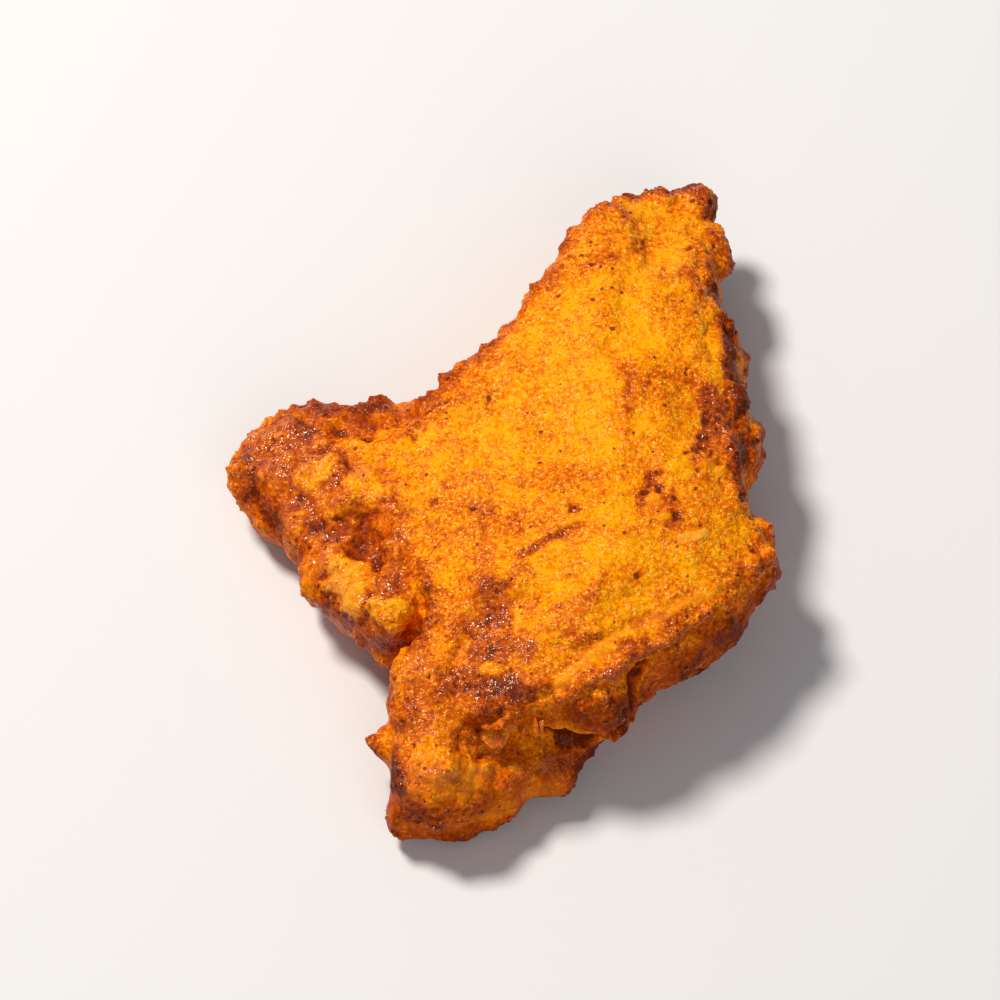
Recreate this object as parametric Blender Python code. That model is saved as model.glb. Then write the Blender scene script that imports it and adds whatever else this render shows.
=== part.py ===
"""One piece of kibbeling: a chunk of white fish fried in batter, lying on its flat underside.

The chunk is a thick kite-shaped slab. A lower lobe bulges from its left side and a short blunt tail
from its front end, each with a top of its own. The batter has set in knobs along the rims, in a flap
over the tail and in hollows on the lobe, and one closed crust covers the whole.

The sizes below are in millimetres, and the finished mesh is in metres. The length lies along Y and the
thickness along Z. The origin is on the underside, below the middle of the piece.
"""

import random

import bmesh
import bpy
from mathutils import Matrix, Vector

MM = 0.001

# The finished crust's longest side, its facets, and the height of the rounded underside that is
# pressed flat where the piece lies.
LENGTH = 67.0
CRUST_TRIANGLES = 9000
PRESSED = 0.7

# The grid that the lumps are fused on, how often the skin is softened after that, and the swellings
# of the crust, as width and height.
FUSE_GRID = 0.6
SOFTENING_ROUNDS = 4
SWELLINGS = ((8.0, 1.5), (2.8, 0.7))

# Beads of batter along the rims: the least and the most way from one to the next, and their radius.
BEAD_SPACING = (1.8, 5.5)
BEAD_RADIUS = (0.9, 2.4)
BEAD_SEED = 5

# Each lump has the line round its widest part, as x, y and the height of the rim above it. Then come
# the spine that its top and its underside draw in towards, how far its crown stands over the rim, and
# how far it clears the level that the piece lies on.
LUMPS = {
    "slab": (
        (
            (14.5, 33.5, 9.5),
            (18.5, 30.5, 9.5),
            (20.5, 20.5, 12.0),
            (22.4, 9.0, 13.0),
            (22.0, 1.5, 13.0),
            (24.0, -5.5, 13.0),
            (22.0, -12.0, 13.0),
            (17.0, -16.5, 13.0),
            (8.0, -21.0, 13.0),
            (-1.0, -23.5, 12.0),
            (-7.8, -19.0, 11.0),
            (-6.4, -13.0, 12.5),
            (-7.2, -7.0, 12.5),
            (-11.0, 3.0, 11.5),
            (-6.2, 10.6, 12.0),
            (1.2, 18.4, 13.0),
            (7.8, 29.4, 12.0),
        ),
        ((13.0, 21.0), (6.0, -10.0)),
        2.8,
        0.0,
    ),
    "lobe": (
        (
            (-5.0, 10.5, 8.5),
            (-13.0, 11.5, 8.0),
            (-20.0, 11.5, 8.0),
            (-24.2, 5.0, 7.0),
            (-20.6, -0.2, 8.0),
            (-16.6, -6.7, 8.5),
            (-12.9, -11.4, 8.0),
            (-8.2, -13.2, 8.5),
            (-3.0, -4.0, 11.0),
        ),
        ((-14.0, 4.0), (-10.0, -7.0)),
        1.4,
        0.2,
    ),
    "tail": (
        (
            (-8.5, -16.0, 10.5),
            (-9.4, -24.0, 9.0),
            (-9.2, -29.3, 7.5),
            (-4.0, -31.2, 6.0),
            (1.0, -28.7, 5.4),
            (4.0, -26.2, 5.2),
            (8.2, -22.7, 5.0),
            (8.0, -17.0, 6.0),
        ),
        ((-4.0, -21.5), (-3.2, -27.5)),
        2.4,
        0.3,
    ),
}

# What the batter has set into, and the hollows left in it: centre and radii.
KNOBS = {
    "lobe_back": ((-17.0, 3.5, 7.6), (4.0, 3.0, 2.6)),
    "lobe_middle": ((-12.5, 0.0, 9.0), (3.6, 3.0, 3.4)),
    "lobe_blister": ((-15.0, -6.0, 7.0), (3.2, 3.4, 3.4)),
    "lobe_front": ((-10.8, -9.6, 7.6), (2.8, 3.0, 3.4)),
    "lobe_ridge": ((-9.6, -9.8, 9.4), (1.7, 4.0, 2.4)),
    "tip_end": ((18.0, 31.5, 9.0), (2.2, 1.9, 2.2)),
    "tip_side": ((19.4, 27.0, 8.4), (2.0, 2.6, 2.4)),
    "right_back": ((20.2, 15.0, 8.0), (2.6, 4.0, 4.0)),
    "right_middle": ((22.2, 5.4, 8.6), (2.0, 3.2, 3.6)),
    "right_corner": ((22.6, -6.5, 9.6), (2.8, 4.0, 3.6)),
    "tail_spur": ((-10.2, -22.6, 5.4), (2.0, 1.6, 1.8)),
    "tail_corner": ((-8.0, -29.2, 3.6), (2.2, 2.4, 2.6)),
    "flap_over_tail": ((8.0, -20.2, 7.4), (4.4, 3.0, 3.6)),
}
HOLLOWS = {
    "lobe_pit": ((-13.5, -4.0, 11.4), (3.0, 2.0, 2.6)),
    "lobe_valley": ((-7.7, -12.4, 13.0), (1.1, 4.6, 3.0)),
    "under_flap": ((4.6, -23.9, 7.6), (5.4, 1.2, 1.2)),
}

GOLDEN_BATTER = (0.72, 0.26, 0.03, 1.0)
BATTER_ROUGHNESS = 0.45


def smooth_ring(corners, between=4):
    """A closed Catmull-Rom curve through the corners, with that many points to each side."""
    ring = []
    for i in range(len(corners)):
        before, start, end, after = (Vector(corners[(i + k) % len(corners)]) for k in (-1, 0, 1, 2))
        for step in range(between):
            t = step / between
            run = (end - before) * t
            bend = (2 * before - 5 * start + 4 * end - after) * t**2
            twist = (3 * start - before - 3 * end + after) * t**3
            ring.append(start + (run + bend + twist) / 2)
    return ring


def nearest_on(spine, point):
    """The place on the spine, in plan, that lies nearest to the point."""
    start, end = (Vector(p) for p in spine)
    run = end - start
    share = (Vector(point[:2]) - start).dot(run) / run.length_squared
    return start + run * min(1.0, max(0.0, share))


def lump(name, corners, spine, crown, foot):
    """A closed lump: it curls in under itself below its widest line, and rounds over at its rim."""
    # Each level: how far the ring has drawn in to the spine, its height as a share of the rim's, and
    # its share of the crown.
    levels = (
        (0.80, 0.00, 0.0),
        (0.55, 0.03, 0.0),
        (0.36, 0.08, 0.0),
        (0.20, 0.17, 0.0),
        (0.08, 0.33, 0.0),
        (0.00, 0.62, 0.0),
        (0.02, 0.86, 0.0),
        (0.07, 0.98, 0.05),
        (0.15, 1.03, 0.25),
        (0.35, 1.04, 0.60),
        (0.60, 1.04, 0.85),
        (0.85, 1.04, 1.00),
    )
    mesh = bmesh.new()
    rows = []
    for inward, rise, swell in levels:
        row = []
        for point in smooth_ring(corners):
            plan = Vector(point[:2]).lerp(nearest_on(spine, point), inward)
            height = foot + (point.z - foot) * rise + crown * swell
            row.append(mesh.verts.new((plan.x, plan.y, height)))
        rows.append(row)
    for low, high in zip(rows, rows[1:]):
        for i in range(len(low)):
            mesh.faces.new((low[i - 1], low[i], high[i], high[i - 1]))
    for end in (rows[0], rows[-1]):
        mesh.faces.new(end)
    bmesh.ops.recalc_face_normals(mesh, faces=mesh.faces)
    return add_object(name, mesh)


def ball(name, centre, radii):
    """A stretched ball, as a knob or as the cutter of a hollow."""
    mesh = bmesh.new()
    bmesh.ops.create_icosphere(mesh, subdivisions=3, radius=1.0)
    bmesh.ops.scale(mesh, vec=radii, verts=mesh.verts)
    bmesh.ops.translate(mesh, vec=centre, verts=mesh.verts)
    return add_object(name, mesh)


def rim_beads(name, corners, spine):
    """Beads of uneven size where the batter has gathered along a lump's rim."""
    chance = random.Random(f"{name} {BEAD_SEED}")
    beads = []
    to_next = BEAD_SPACING[1]
    ring = smooth_ring(corners)
    for before, point in zip(ring, ring[1:]):
        to_next -= (point - before).length
        if to_next > 0.0:
            continue
        to_next = chance.uniform(*BEAD_SPACING)
        radius = chance.uniform(*BEAD_RADIUS)
        inward = (nearest_on(spine, point) - Vector(point[:2])).normalized()
        plan = Vector(point[:2]) + inward * radius * chance.uniform(0.5, 1.0)
        centre = (plan.x, plan.y, point.z * chance.uniform(0.45, 0.95))
        radii = [radius * chance.uniform(0.8, 1.3) for _ in range(3)]
        beads.append(ball(f"{name}_bead", centre, radii))
    return beads


def add_object(name, mesh):
    data = bpy.data.meshes.new(name)
    mesh.to_mesh(data)
    mesh.free()
    obj = bpy.data.objects.new(name, data)
    bpy.context.scene.collection.objects.link(obj)
    return obj


def joined(name, pieces):
    with bpy.context.temp_override(active_object=pieces[0], selected_editable_objects=pieces):
        bpy.ops.object.join()
    pieces[0].name = name
    return pieces[0]


def fuse(obj, name):
    """Gives overlapping shapes one closed skin."""
    remesh = obj.modifiers.new(name, "REMESH")
    remesh.mode = "VOXEL"
    remesh.voxel_size = FUSE_GRID


def hollow_out(obj, cutters):
    cutters.hide_render = True
    cutters.display_type = "WIRE"
    cut = obj.modifiers.new("hollows", "BOOLEAN")
    cut.operation = "DIFFERENCE"
    cut.object = cutters


def swell(obj):
    """The uneven swelling of fried batter."""
    for width, height in SWELLINGS:
        texture = bpy.data.textures.new("swelling", "CLOUDS")
        texture.noise_scale = width
        texture.noise_depth = 2
        displace = obj.modifiers.new("swelling", "DISPLACE")
        displace.texture = texture
        displace.texture_coords = "LOCAL"
        displace.strength = height


def thin_out(obj):
    """Brings the skin down to its number of facets, which keeps small ones where it is uneven."""
    graph = bpy.context.evaluated_depsgraph_get()
    skin = obj.evaluated_get(graph).data
    triangles = sum(len(face.vertices) - 2 for face in skin.polygons)
    decimate = obj.modifiers.new("facets", "DECIMATE")
    decimate.ratio = CRUST_TRIANGLES / triangles


def settle(obj):
    """Fixes the modified skin as the object's own mesh, presses its underside flat and places it."""
    graph = bpy.context.evaluated_depsgraph_get()
    mesh = bmesh.new()
    mesh.from_object(obj, graph)
    obj.modifiers.clear()
    floor = min(v.co.z for v in mesh.verts) + PRESSED
    for vert in mesh.verts:
        vert.co.z = max(vert.co.z, floor)
    low, high = (Vector([pick(v.co[i] for v in mesh.verts) for i in range(3)]) for pick in (min, max))
    to_origin = Matrix.Translation((-(low.x + high.x) / 2, -(low.y + high.y) / 2, -floor))
    to_size = Matrix.Scale(MM * LENGTH / (high.y - low.y), 4)
    mesh.transform(to_size @ to_origin)
    mesh.to_mesh(obj.data)
    mesh.free()
    obj.data.shade_smooth()


def paint(obj):
    material = bpy.data.materials.new("golden_batter")
    material.use_nodes = True
    surface = material.node_tree.nodes["Principled BSDF"]
    surface.inputs["Base Color"].default_value = GOLDEN_BATTER
    surface.inputs["Roughness"].default_value = BATTER_ROUGHNESS
    surface.inputs["Metallic"].default_value = 0.0
    material.diffuse_color = GOLDEN_BATTER
    obj.data.materials.append(material)


def clear_scene():
    for obj in list(bpy.data.objects):
        bpy.data.objects.remove(obj, do_unlink=True)


def main():
    clear_scene()
    solids = [lump(name, *sizes) for name, sizes in LUMPS.items()]
    for name, (corners, spine, *_) in LUMPS.items():
        solids += rim_beads(name, corners, spine)
    solids += [ball(name, *sizes) for name, sizes in KNOBS.items()]
    crust = joined("kibbeling", solids)
    hollows = joined("hollows", [ball(name, *sizes) for name, sizes in HOLLOWS.items()])
    fuse(crust, "one_skin")
    hollow_out(crust, hollows)
    fuse(crust, "even_skin")
    smooth = crust.modifiers.new("soften", "SMOOTH")
    smooth.iterations = SOFTENING_ROUNDS
    swell(crust)
    thin_out(crust)
    settle(crust)
    bpy.data.objects.remove(hollows, do_unlink=True)
    paint(crust)


main()
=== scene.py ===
"""Looks of one piece of kibbeling: a chunk of white fish in a fried batter crust.

The crust is grown over a copy of the solid model's own skin. It is fused and softened first, then
takes its folds and flake edges, its blisters, lumps, pits and grain, and at last its browning, with
some painted shade and painted light in it, which the material reads from the crust's own
attributes. Crumbs and torn flakes are pieces of their own.
"""

import functools
import math
import random

import bmesh
import bpy
import numpy as np
from bpy.props import FloatProperty, FloatVectorProperty, IntProperty, PointerProperty
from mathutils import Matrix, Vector, kdtree, noise


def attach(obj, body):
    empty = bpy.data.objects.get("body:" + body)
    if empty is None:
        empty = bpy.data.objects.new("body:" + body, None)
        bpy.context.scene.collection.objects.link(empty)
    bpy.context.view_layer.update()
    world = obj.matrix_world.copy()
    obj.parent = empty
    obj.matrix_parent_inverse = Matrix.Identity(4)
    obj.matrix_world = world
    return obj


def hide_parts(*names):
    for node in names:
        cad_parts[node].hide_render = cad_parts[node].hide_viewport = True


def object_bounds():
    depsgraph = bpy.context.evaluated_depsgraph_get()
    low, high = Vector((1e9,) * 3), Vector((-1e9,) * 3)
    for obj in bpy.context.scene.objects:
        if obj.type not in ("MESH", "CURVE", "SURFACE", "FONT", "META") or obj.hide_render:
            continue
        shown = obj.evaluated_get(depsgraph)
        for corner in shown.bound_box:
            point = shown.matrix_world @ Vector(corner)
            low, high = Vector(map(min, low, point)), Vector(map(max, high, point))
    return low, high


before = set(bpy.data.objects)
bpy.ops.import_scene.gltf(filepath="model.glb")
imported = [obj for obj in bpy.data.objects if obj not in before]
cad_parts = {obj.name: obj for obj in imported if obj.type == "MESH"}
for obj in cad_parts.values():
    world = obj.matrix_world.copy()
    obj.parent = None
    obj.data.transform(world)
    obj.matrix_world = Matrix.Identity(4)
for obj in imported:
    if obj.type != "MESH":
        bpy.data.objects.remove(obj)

bl_info = {
    "name": "Kibbeling",
    "version": (1, 0, 0),
    "blender": (4, 5, 0),
    "location": "View3D > Sidebar > Kibbeling",
    "description": "Builds the crust, crumbs, flakes and stage of one piece of kibbeling",
    "category": "Object",
}

MM = 0.001
NODE = "kibbeling"
BODY = "root"
CAD_BOUNDS = [list(corner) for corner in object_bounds()]


def linear(code):
    """An sRGB hex colour as the linear colour that Blender's sockets take."""
    channels = [int(code[i : i + 2], 16) / 255 for i in (1, 3, 5)]
    return [c / 12.92 if c <= 0.04045 else ((c + 0.055) / 1.055) ** 2.4 for c in channels]


def colour(name, code, description):
    """A colour setting."""
    return FloatVectorProperty(
        name=name,
        description=description,
        default=linear(code),
        subtype="COLOR",
        size=3,
        min=0.0,
        max=1.0,
    )


def length(name, millimetres, description):
    """A size setting."""
    return FloatProperty(
        name=name,
        description=description,
        default=millimetres * MM,
        subtype="DISTANCE",
        unit="LENGTH",
        precision=6,
    )


class CrustSizes(bpy.types.PropertyGroup):
    """Sizes of the crust's relief."""

    coarse_grid: length("Coarse grid", 0.57, "Grid that the skin is fused on before it is softened")
    blister: length("Blister", 2.0, "Radius of the largest blisters of batter")
    lump: length("Lump", 1.0, "Radius of the largest small lumps")
    granule: length("Granule", 0.5, "Radius of the largest granules")
    plate: length("Plate", 2.6, "Width of the flat chips that the batter sets in")
    pits: IntProperty(
        name="Pits", description="Burst bubbles in the crust", default=300, min=0, max=5000
    )
    crumbs: IntProperty(
        name="Crumbs", description="Crumbs set in the crust", default=1100, min=0, max=2000
    )


class CrustColours(bpy.types.PropertyGroup):
    """Colours of fried batter, from the palest to the darkest, with the painted highlight of its glints.
    """

    pale: colour("Pale", "#FBB045", "Thin smooth film where the crust is almost bare")
    yellow: colour("Yellow", "#FFAE06", "Tops of the grains")
    amber: colour("Amber", "#FE9E02", "Flat, evenly fried batter")
    orange: colour("Orange", "#F08505", "Batter fried a little longer")
    copper: colour("Copper", "#D66407", "Edges and folds")
    rust: colour("Rust", "#AE4507", "Rims and knobs that stood proud in the fat")
    # Painted highlight: the colour of the pale dots on the grain's tops that stand for glints.
    painted_glint: colour("Glint", "#FFCC55", "Thin tops of single grains")
    brown: colour("Brown", "#6C2407", "Crisp points, pits and specks")


def points_of(mesh):
    """The places of the mesh's vertices, one row each."""
    points = np.empty(len(mesh.vertices) * 3, np.float32)
    mesh.vertices.foreach_get("co", points)
    return points.reshape(-1, 3).astype(np.float64)


def normals_of(mesh):
    """The mesh's vertex normals, one row each."""
    normals = np.empty(len(mesh.vertices) * 3, np.float32)
    mesh.vertex_normals.foreach_get("vector", normals)
    return normals.reshape(-1, 3).astype(np.float64)


def soft_normals(mesh, rounds):
    """Unit normals of the skin, evened out over that many rings of neighbours."""
    normals = spread(mesh, normals_of(mesh), rounds)
    return normals / np.linalg.norm(normals, axis=1)[:, None]


def stands_out(mesh, points, normals, rounds):
    """How far each point stands out of the skin round it, in millimetres. More rounds look wider."""
    return np.einsum("ij,ij->i", points - spread(mesh, points, rounds), normals) / MM


def move_points(mesh, points):
    """Puts the mesh's vertices at these places."""
    mesh.vertices.foreach_set("co", points.astype(np.float32).ravel())
    mesh.update()


def spread(mesh, values, rounds):
    """The values after each point has taken its neighbours' mean, that many times."""
    edges = np.empty(len(mesh.edges) * 2, np.int64)
    mesh.edges.foreach_get("vertices", edges)
    one, other = edges.reshape(-1, 2).T
    count = len(mesh.vertices)
    share = np.bincount(one, minlength=count) + np.bincount(other, minlength=count)
    columns = values.reshape(count, -1).T.copy()
    for _ in range(rounds):
        for i, column in enumerate(columns):
            total = np.bincount(one, column[other], count) + np.bincount(other, column[one], count)
            columns[i] = total / share
    return columns.T.reshape(values.shape)


def ease(low, high, values):
    """0 below low, 1 above high and a smooth rise between them."""
    t = np.clip((values - low) / (high - low), 0.0, 1.0)
    return t * t * (3.0 - 2.0 * t)


def only(obj):
    """Selects one object and makes it active, so that an operator acts on nothing else."""
    bpy.ops.object.select_all(action="DESELECT")
    obj.select_set(True)
    bpy.context.view_layer.objects.active = obj


def modify(obj, kind, **settings):
    """Adds one modifier with its settings and applies it."""
    only(obj)
    modifier = obj.modifiers.new(kind.lower(), kind)
    for name, value in settings.items():
        setattr(modifier, name, value)
    bpy.ops.object.modifier_apply(modifier=modifier.name)


def core_copy(name):
    """A copy of the solid's mesh with its loose triangles merged into one skin."""
    obj = bpy.data.objects.new(name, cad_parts[NODE].data.copy())
    obj.data.materials.clear()
    bpy.context.scene.collection.objects.link(obj)
    only(obj)
    bpy.ops.object.mode_set(mode="EDIT")
    bpy.ops.mesh.select_all(action="SELECT")
    bpy.ops.mesh.remove_doubles(threshold=1e-6)
    bpy.ops.object.mode_set(mode="OBJECT")
    return obj


def unwrap(obj):
    """Gives a piece its one UV map."""
    only(obj)
    while obj.data.uv_layers:
        obj.data.uv_layers.remove(obj.data.uv_layers[0])
    obj.data.uv_layers.new(name="OFBake")
    bpy.ops.object.mode_set(mode="EDIT")
    bpy.ops.mesh.select_all(action="SELECT")
    bpy.ops.uv.smart_project(angle_limit=math.radians(70), island_margin=0.004)
    bpy.ops.object.mode_set(mode="OBJECT")


def tree_of(points):
    """A search tree of the points."""
    tree = kdtree.KDTree(len(points))
    for i, point in enumerate(points):
        tree.insert(point, i)
    tree.balance()
    return tree


def bubbles(points, weights, count, radii, chance):
    """How high each point stands in a scatter of domes, as a share of the dome's own radius in metres.

    The domes lie on points of the skin, more of them where the weights are high."""
    tree = tree_of(points)
    height = np.zeros(len(points))
    low, high = radii
    for _ in range(count):
        centre = chance.randrange(len(points))
        if chance.random() > weights[centre]:
            continue
        radius = low + (high - low) * chance.random() ** 2
        for _, i, distance in tree.find_range(points[centre], radius):
            height[i] = max(height[i], radius * (1.0 - (distance / radius) ** 2))
    return height


def plates(points, width, chance, warp):
    """A random number from 0 to 1 for each point, the same all over one flat chip of batter."""
    count = int(SKIN_AREA / (width * width * CHIP_SHARE))
    seeds = [points[chance.randrange(len(points))] for _ in range(count)]
    shades = np.array([chance.random() for _ in seeds])
    tree = tree_of(seeds)
    warped = points + warp
    return shades[[tree.find(point)[1] for point in warped]]


def wander(points, width, seed):
    """Smooth noise from -1 to 1 at each point."""
    shift = Vector((seed * 7.31, seed * 3.17, seed * 5.53))
    scale = 1.0 / width
    return np.array([noise.noise(Vector(p) * scale + shift) for p in points])


# Where one layer of batter ends over the next. Each has its line in plan, in millimetres, how far the
# side at the left of the line stands up, and how far back it slopes down again.
FOLDS = {
    "front_rim": (((3.0, -23.4), (8.3, -21.7), (12.0, -19.4), (18.3, -15.1), (22.5, -11.9)), 0.7, 3.0),
    "inner_rim": (((6.0, -19.1), (10.5, -17.3), (14.5, -14.9), (18.0, -12.7)), 0.35, 2.2),
    "curved_crease": (((1.5, -10.5), (3.6, -8.7), (6.6, -7.2), (10.0, -7.9), (12.0, -9.5)), 0.3, 1.8),
    "face_crease": (((-1.0, 11.0), (-4.9, 7.3), (-7.1, 6.2), (-9.6, 4.1)), 0.6, 3.0),
    "flank_edge": (((-8.3, -21.2), (-4.9, -20.5), (-3.7, -17.5), (-3.2, -14.5)), 0.6, 2.4),
    "crisp_edge": (((-4.8, -23.5), (-2.0, -24.7), (1.8, -24.7), (4.0, -23.9)), 0.8, 2.6),
}
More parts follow.
